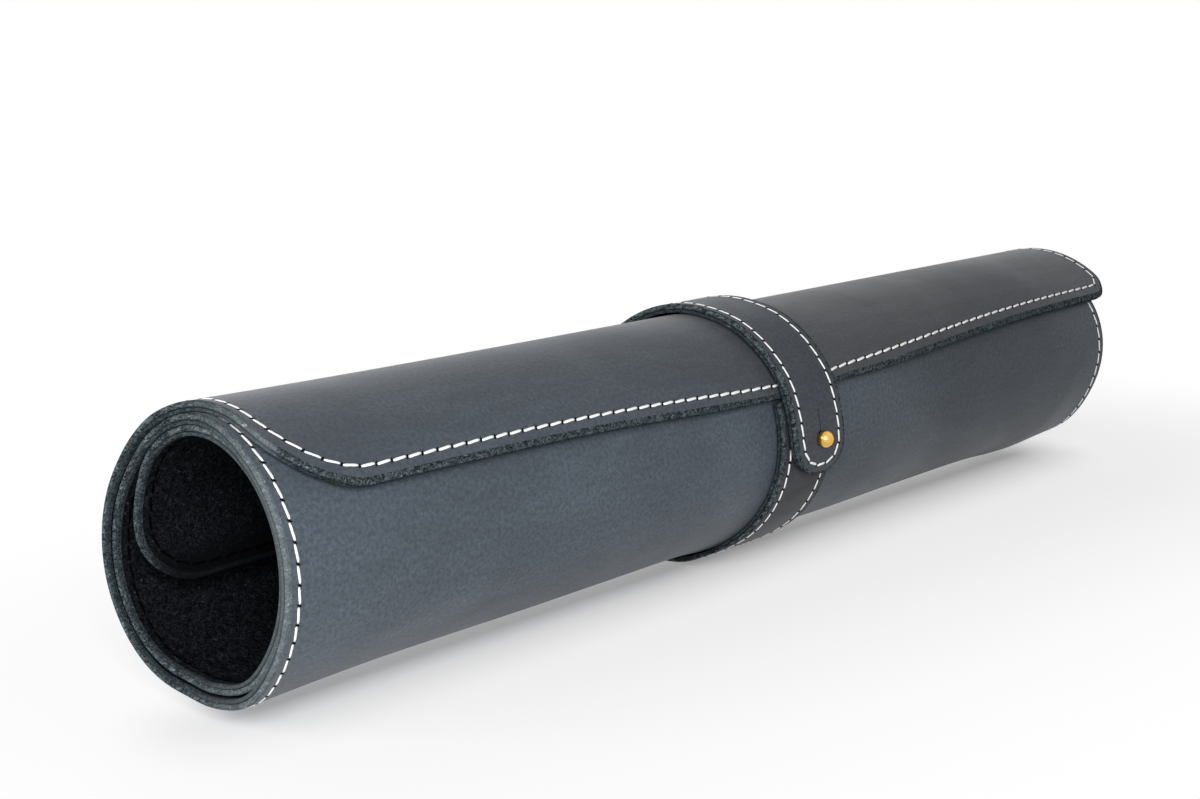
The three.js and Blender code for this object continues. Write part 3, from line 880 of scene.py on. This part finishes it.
def take_apart(model):
    """The points and the faces of a model, which is then removed."""
    points = read_points(model.data)
    faces = [tuple(face.vertices) for face in model.data.polygons]
    bpy.data.objects.remove(model)
    return points, faces


stitch_points, stitch_faces = take_apart(model_stitch())
hole_points, hole_faces = take_apart(model_hole())
print("stitch with", len(stitch_faces), "faces, needle hole with", len(hole_faces))

# %% [markdown]
# The stitch line runs at an even distance inside the edge of the cut. It is worked out as a fine line of
# points first, and then divided into equal stitches, the way a pricking wheel marks them.

# %% Stitch lines
STITCH_INSET = 3.8 * MM
CORNER_POINTS = 24
NEAR_STITCH_CORNER = 24.5 * MM


def quarter_turn(radius):
    """Points round a corner: how far each is in from the side, and how far back from the end."""
    turns = np.linspace(0, math.pi / 2, CORNER_POINTS)
    return np.column_stack([radius * (1 - np.cos(turns)), radius * (1 - np.sin(turns))])


def line_round(half_width, open_at, end, left_radius, right_radius):
    """A stitch line down the left side of a sheet, round its end and back up the right side."""
    way = math.copysign(1, end - open_at)
    left = [(inward - half_width, end - way * back) for inward, back in quarter_turn(left_radius)]
    right = [(half_width - inward, end - way * back) for inward, back in quarter_turn(right_radius)[::-1]]
    return np.array([(-half_width, open_at), *left, *right, (half_width, open_at)])


def divide(line, pitch):
    """Points one stitch apart along a line."""
    length = lengths_along(line)
    count = round(length[-1] / pitch)
    places = np.linspace(0, length[-1], count + 1)
    return np.stack([np.interp(places, length, line[:, k]) for k in (0, 1)], axis=1)


half_line = PAD_WIDTH / 2 - STITCH_INSET
flap_line = line_round(half_line, PAD_LENGTH / 2, STITCH_INSET,
                       NEAR_STITCH_CORNER, FLAP_FAR_CORNER - STITCH_INSET)
inner_line = line_round(half_line, PAD_LENGTH / 2, PAD_LENGTH - STITCH_INSET,
                        INNER_NEAR_CORNER - STITCH_INSET, INNER_FAR_CORNER - STITCH_INSET)
pad_line = np.concatenate([flap_line, inner_line[::-1][1:]])
print("the pad's stitch line is", in_mm(lengths_along(pad_line)[-1]), "mm long")

# %% [markdown]
# Sewing copies the stitch between each pair of holes. The holes come from a slanting awl, so each stitch
# lies a little askew, with a dark slit of painted shade where it goes in. The copies are one mesh, bent like
# their sheet.

# %% Sewing
PAD_STITCH_PITCH = 5.45 * MM
STRAP_STITCH_PITCH = 4.9 * MM
STITCH_SHARE = 0.91
STITCH_WIDTH = 0.8 * MM
STITCH_HEIGHT = 0.36 * MM
STITCH_SLANT = math.radians(5)
THREAD_RISE = 0.03 * MM
HOLE_SIZE = (1.8 * MM, 0.5 * MM, 0.4 * MM)
HOLE_SLANT = math.radians(62)
HOLE_RISE = 0.1 * MM


def add_object(name, data):
    made = bpy.data.objects.new(name, data)
    bpy.context.scene.collection.objects.link(made)
    return made


def copies_along(name, points, faces, middles, ways, slant, sizes, height, bend, finish):
    """Copies of one small shape on the flat sheet, each turned to its way and slanted, as one bent piece."""
    all_points = []
    all_faces = []
    for middle, way, size in zip(middles, ways, sizes):
        heading = math.atan2(way[1], way[0]) + slant
        turned = np.array([[math.cos(heading), math.sin(heading)], [-math.sin(heading), math.cos(heading)]])
        placed = (points - (0.5, 0, 0)) * size
        flat = placed[:, :2] @ turned + middle
        first = len(all_points) * len(points)
        all_points.append(np.column_stack([flat, placed[:, 2] + height]))
        all_faces += [tuple(first + index for index in face) for face in faces]
    mesh = bpy.data.meshes.new(name)
    mesh.from_pydata(bend(np.concatenate(all_points)), [], all_faces)
    mesh.materials.append(finish)
    piece = add_object(name, mesh)
    smooth(piece, angle=50)
    print(name, len(middles), "copies,", len(all_faces), "faces")
    return piece


def sew(name, line, pitch, bend):
    """White stitches with their holes on the leather, and black stitches on the felt."""
    marks = divide(line, pitch)
    ways = marks[1:] - marks[:-1]
    middles = (marks[1:] + marks[:-1]) / 2
    sizes = [(np.linalg.norm(way) * STITCH_SHARE, STITCH_WIDTH, STITCH_HEIGHT) for way in ways]
    needle = copies_along(name + "_stitches", stitch_points, stitch_faces, middles, ways, STITCH_SLANT, sizes,
                          LEATHER_HIGH + THREAD_RISE, bend, white_thread)
    below = stitch_points * (1, 1, -1)
    below_faces = [face[::-1] for face in stitch_faces]
    bobbin = copies_along(name + "_bobbin_stitches", below, below_faces, middles, ways, -STITCH_SLANT, sizes,
                          FELT_LOW - THREAD_RISE, bend, black_thread)
    # The needle holes are dark discs of painted shade, for the shade inside each hole.
    hole_sizes = [HOLE_SIZE] * len(ways)
    hole_height = LEATHER_HIGH - HOLE_SIZE[2] / 2 + HOLE_RISE
    holes = copies_along(name + "_hole_shades", hole_points, hole_faces, marks[:-1], ways, HOLE_SLANT,
                         hole_sizes, hole_height, bend, hole_shade)
    return needle, bobbin, holes


pad_pieces = [leather_sheet, felt_sheet, *sew("pad", pad_line, PAD_STITCH_PITCH, roll_pad)]

# %% [markdown]
# The strap is one strip on the real object. Its free end, the tongue, has to lift off the stud here, while
# the end under it stays, so the strip is made in two lengths, which meet underneath, where nobody looks.
# The buttonhole is a round hole with a slit above it, cut with a Boolean before the strip is bent.

# %% The strap's cut
STRAP_SPLIT_ANGLE = 262
STUD_ANGLE = 8
TONGUE_TIP_FLAT = 2.6 * MM
TONGUE_TIP_OFFSET = 1.5 * MM
BUTTON_END_CORNER = 1.5 * MM
BUTTONHOLE = 4.6 * MM
SLIT_LENGTH = 9.5 * MM
SLIT_WIDTH = 0.6 * MM
CUTTER_DEPTH = 20 * MM
SLIT_DEPTH = 19 * MM
STRAP_ROW = 2.0 * MM
STRAP_COLUMN = 5.3 * MM

split_at = strap.length_at(STRAP_SPLIT_ANGLE) - strap_start
stud_at = strap.length_at(STUD_ANGLE) - strap_start
tip_left = (STRAP_WIDTH - TONGUE_TIP_FLAT) / 2 + TONGUE_TIP_OFFSET
tip_right = (STRAP_WIDTH - TONGUE_TIP_FLAT) / 2 - TONGUE_TIP_OFFSET
strap_columns = np.arange(-2, 3) * STRAP_COLUMN


def model_keyhole_cutter():
    bpy.ops.mesh.primitive_cylinder_add(vertices=24, radius=BUTTONHOLE / 2, depth=CUTTER_DEPTH,
                                        location=(0, stud_at, 0))
    hole = bpy.context.object
    bpy.ops.mesh.primitive_cube_add(size=1, location=(0, stud_at + SLIT_LENGTH / 2, 0))
    slit = bpy.context.object
    slit.scale = (SLIT_WIDTH, SLIT_LENGTH, SLIT_DEPTH)
    bpy.ops.object.transform_apply(location=False, rotation=False, scale=True)
    modify(hole, "BOOLEAN", operation="UNION", object=slit)
    bpy.data.objects.remove(slit)
    return hole


def make_strap(names, start, length, corners, cutter=None):
    cut = cut_flat(STRAP_WIDTH, start, length, corners)
    rows = np.arange(start + STRAP_ROW, start + length, STRAP_ROW)
    return make_layers(names, cut, strap_leather, strap_columns, rows, wrap_strap, cutter)


keyhole = model_keyhole_cutter()
tip_corners = {(-1, 0): tip_left, (1, 0): tip_right}
end_corners = {(-1, 1): BUTTON_END_CORNER, (1, 1): BUTTON_END_CORNER}
over_leather, over_felt = make_strap("over_{}_strip", 0, split_at, tip_corners, keyhole)
under_leather, under_felt = make_strap("under_{}_strip", split_at, STRAP_LENGTH - split_at, end_corners)
bpy.data.objects.remove(keyhole)

# %% [markdown]
# The strap is sewn like the pad, with slightly shorter stitches. One line runs round the point of the tongue
# and the other round the square end, and they meet where the two lengths do.

# %% The strap's stitches
BUTTON_LINE_CORNER = 0.2 * MM
half_strap = STRAP_WIDTH / 2 - STITCH_INSET
tongue_line = line_round(half_strap, split_at, STITCH_INSET,
                         tip_left - STITCH_INSET, tip_right - STITCH_INSET)
button_line = line_round(half_strap, split_at, STRAP_LENGTH - STITCH_INSET,
                         BUTTON_LINE_CORNER, BUTTON_LINE_CORNER)
tongue_pieces = [over_leather, over_felt, *sew("over", tongue_line, STRAP_STITCH_PITCH, wrap_strap)]
strap_pieces = [under_leather, under_felt, *sew("under", button_line, STRAP_STITCH_PITCH, wrap_strap)]

# %% [markdown]
# The stud is turned from brass rod: a flange that sits on the leather, a neck and a ball. It is modelled like
# turning, a ring extruded up its axis and made wider and narrower, and stands where the CAD's is.

# %% The ball stud
BALL_DIAMETER = 6 * MM
BALL_STAND_OFF = 1.5 * MM
NECK_DIAMETER = 3.4 * MM
FLANGE_DIAMETER = 6 * MM
FLANGE_THICKNESS = 0.5 * MM
STUD_BEVEL = 0.12 * MM
BALL_RINGS = 22


def strap_point(angle):
    """A point on the strap's face, in line with the stud, and the way out of the roll there."""
    length = strap.length_at(angle)
    across, height = strap.at(length, LEATHER_HIGH)
    further, higher = strap.at(length, LEATHER_HIGH + MM)
    point = axis_place + Vector((strap_shift(strap_start + stud_at), across, height))
    return point, Vector((0, further - across, higher - height)).normalized()


stud_foot, stud_way = strap_point(STUD_ANGLE + 360)
tongue_face = strap_point(STUD_ANGLE)[0]
ball_centre = (tongue_face - stud_foot).dot(stud_way) + BALL_STAND_OFF
neck_angle = math.asin(NECK_DIAMETER / BALL_DIAMETER)


def stud_rings():
    """Each ring from the flange up over the ball: its radius, and its place in X and Z."""
    rings = [
        (FLANGE_DIAMETER / 2, 0, 0),
        (FLANGE_DIAMETER / 2, 0, FLANGE_THICKNESS - STUD_BEVEL),
        (FLANGE_DIAMETER / 2 - STUD_BEVEL, 0, FLANGE_THICKNESS),
        (NECK_DIAMETER / 2 + STUD_BEVEL, 0, FLANGE_THICKNESS),
        (NECK_DIAMETER / 2, 0, FLANGE_THICKNESS + STUD_BEVEL),
    ]
    for step in range(BALL_RINGS):
        angle = math.pi - neck_angle - (math.pi - neck_angle) * step / BALL_RINGS
        ring = BALL_DIAMETER / 2 * math.sin(angle)
        rings.append((ring, 0, ball_centre + BALL_DIAMETER / 2 * math.cos(angle)))
    return rings


def model_stud():
    rings = stud_rings()
    bpy.ops.mesh.primitive_circle_add(vertices=48, radius=rings[0][0], fill_type="NGON")
    stud = bpy.context.object
    stud.name = "ball_stud"
    extrude_rings(rings, 2)
    top = (0, 0, ball_centre + BALL_DIAMETER / 2 - rings[-1][2])
    bpy.ops.mesh.extrude_region_move(TRANSFORM_OT_translate={"value": top})
    bpy.ops.mesh.merge(type="CENTER")
    close_model()
    stud.location = stud_foot
    stud.rotation_euler = stud_way.to_track_quat("Z", "X").to_euler()
    select_only(stud)
    bpy.ops.object.transform_apply()
    smooth(stud, angle=35)
    stud.data.materials.append(brass)
    return stud


ball_stud = model_stud()
screw_finish = frame["nodes"]["stud_screw"].data.materials
screw_finish.clear()
screw_finish.append(brass)
cad_stud_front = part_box("stud_ball")[0].y
stud_front = min(corner.co.y for corner in ball_stud.data.vertices)
print("stud at", in_mm(stud_foot), "its front", in_mm(stud_front), "in the CAD", in_mm(cad_stud_front), "mm")

# %% [markdown]
# Each piece of the pad and the strap is joined to the body it moves with, and the CAD solids the pieces
# replace are hidden, also the tongue's. The real tongue is fixed at the top and bends forward of the hinge;
# here its pieces only keep their place in the frame, joined to no body.

# %% Joining the pieces to the frame
SLOTS = ("leather", "felt", "white_thread", "black_thread", "black_thread")
SOLIDS = ("leather", "lining", "needle_thread", "bobbin_thread", None)
for body, pieces in (("pad", pad_pieces), ("strap", strap_pieces), ("tongue", tongue_pieces)):
    for piece, slot, solid in zip(pieces, SLOTS, SOLIDS):
        if body == "tongue":
            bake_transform(piece)
        else:
            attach(piece, body)
        if solid:
            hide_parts(f"{body}_{solid}")
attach(ball_stud, "strap")
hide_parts("stud_ball")

# %% [markdown]
# The camera looks along the roll from its near end, slightly from above. The photograph is 1200 pixels wide,
# so a lens found in pixels becomes millimetres on Blender's 36 mm sensor by that width.

# %% Camera
PHOTO_WIDTH = 1200
FOCAL_PIXELS = 1793.5
SENSOR = 36
CAMERA_FROM_AXIS = Vector((-480.1, -404.4, 150.0)) * MM
CAMERA_TILT = 0.216
CAMERA_TURN = -0.813
camera_data = bpy.data.cameras.new("photo_camera")
camera_data.sensor_width = SENSOR
camera_data.lens = FOCAL_PIXELS / PHOTO_WIDTH * SENSOR
camera_data.clip_end = 200
camera = add_object("photo_camera", camera_data)
camera.location = axis_place + CAMERA_FROM_AXIS
camera.rotation_euler = (math.pi / 2 - CAMERA_TILT, 0, CAMERA_TURN)
bpy.context.scene.camera = camera
print("lens", round(camera_data.lens, 1), "mm")

# %% [markdown]
# The roll lies on a white table without an end. The floor is a wide plane, and white is mixed into what the
# camera sees of it: little close to the roll, where the shadow has to stay, and all of it further out.
# Only rays that show the floor itself get that white, so it lights nothing.

# %% Floor
FLOOR_COLOUR = (0.94, 0.94, 0.95, 1)
PLAIN_WHITE = {"Color": (1, 1, 1, 1), "Strength": 1.0}
SHADOW_WHITE = (-14 * MM, 40 * MM, 0.1, 0.74)
OPEN_WHITE = (40 * MM, 220 * MM, 0.0, 0.26)
bpy.ops.mesh.primitive_plane_add(size=60, location=(0, 0, 0))
floor = bpy.context.object
floor.name = "floor"
floor_paper, tree, shader = new_material("white_floor")
set_inputs(tree, shader, {"Base Color": FLOOR_COLOUR, "Roughness": 0.6, "Specular IOR Level": 0.2})


def seen_directly(tree):
    """1 for the rays that show the background itself: to the camera, mirrored or through glass."""
    path = add_node(tree, "ShaderNodeLightPath").outputs
    mirrored = math_node(tree, "MAXIMUM", path["Is Glossy Ray"], path["Is Transmission Ray"])
    return math_node(tree, "MAXIMUM", path["Is Camera Ray"], mirrored)


def show_white(tree, output, plain, kind, share):
    """Mixes a share of plain white into what a shader shows."""
    white = add_node(tree, kind, PLAIN_WHITE).outputs[0]
    mixed = add_node(tree, "ShaderNodeMixShader", {0: share, 1: plain.outputs[0], 2: white}).outputs[0]
    set_inputs(tree, tree.nodes[output], {"Surface": mixed})


along_roll, beside_roll, _ = apart(tree, object_place(tree))
past_end = math_node(tree, "SUBTRACT", math_node(tree, "ABSOLUTE", along_roll), PAD_WIDTH / 2)
past_end = math_node(tree, "MAXIMUM", past_end, 0.0)
from_roll = add_node(tree, "ShaderNodeCombineXYZ", {0: past_end, 1: beside_roll}).outputs[0]
distance = add_node(tree, "ShaderNodeVectorMath", {0: from_roll}, operation="LENGTH").outputs["Value"]
white = math_node(tree, "ADD", between(tree, distance, *SHADOW_WHITE), between(tree, distance, *OPEN_WHITE))
share = product(tree, seen_directly(tree), white)
show_white(tree, "Material Output", shader, "ShaderNodeEmission", share)
floor.data.materials.append(floor_paper)
print("the floor is plain white from", in_mm(OPEN_WHITE[1]), "mm beside the roll")

# %% [markdown]
# Three softboxes light the roll: a small one in front, a large one behind, and one past the near end.
# The world adds a little light from all round, and is plain white where the camera sees it.

# %% Light
SOFTBOXES = (
    ("front_softbox", (-0.62, -0.62, 0.42), (-0.12, 0, 0.05), 0.45, 7.2),
    ("back_softbox", (0.2, 1.3, 0.7), (0.05, 0, 0.05), 1.2, 6.5),
    ("end_softbox", (-1.2, 0.35, 0.5), (-0.1, 0, 0.05), 0.7, 8),
)
WORLD_LIGHT = 0.1
for name, place, target, size, power in SOFTBOXES:
    light = bpy.data.lights.new(name, "AREA")
    light.shape = "DISK"
    light.size = size
    light.energy = power
    lamp = add_object(name, light)
    lamp.location = place
    lamp.rotation_euler = (Vector(target) - Vector(place)).to_track_quat("-Z", "Y").to_euler()
    print(name, size, "m across,", power, "W")

bpy.context.scene.view_settings.view_transform = "Standard"
world = bpy.data.worlds.new("studio")
bpy.context.scene.world = world
world.use_nodes = True
tree = world.node_tree
lit = tree.nodes["Background"]
set_inputs(tree, lit, {"Color": (1, 1, 1, 1), "Strength": WORLD_LIGHT})
show_white(tree, "World Output", lit, "ShaderNodeBackground", seen_directly(tree))
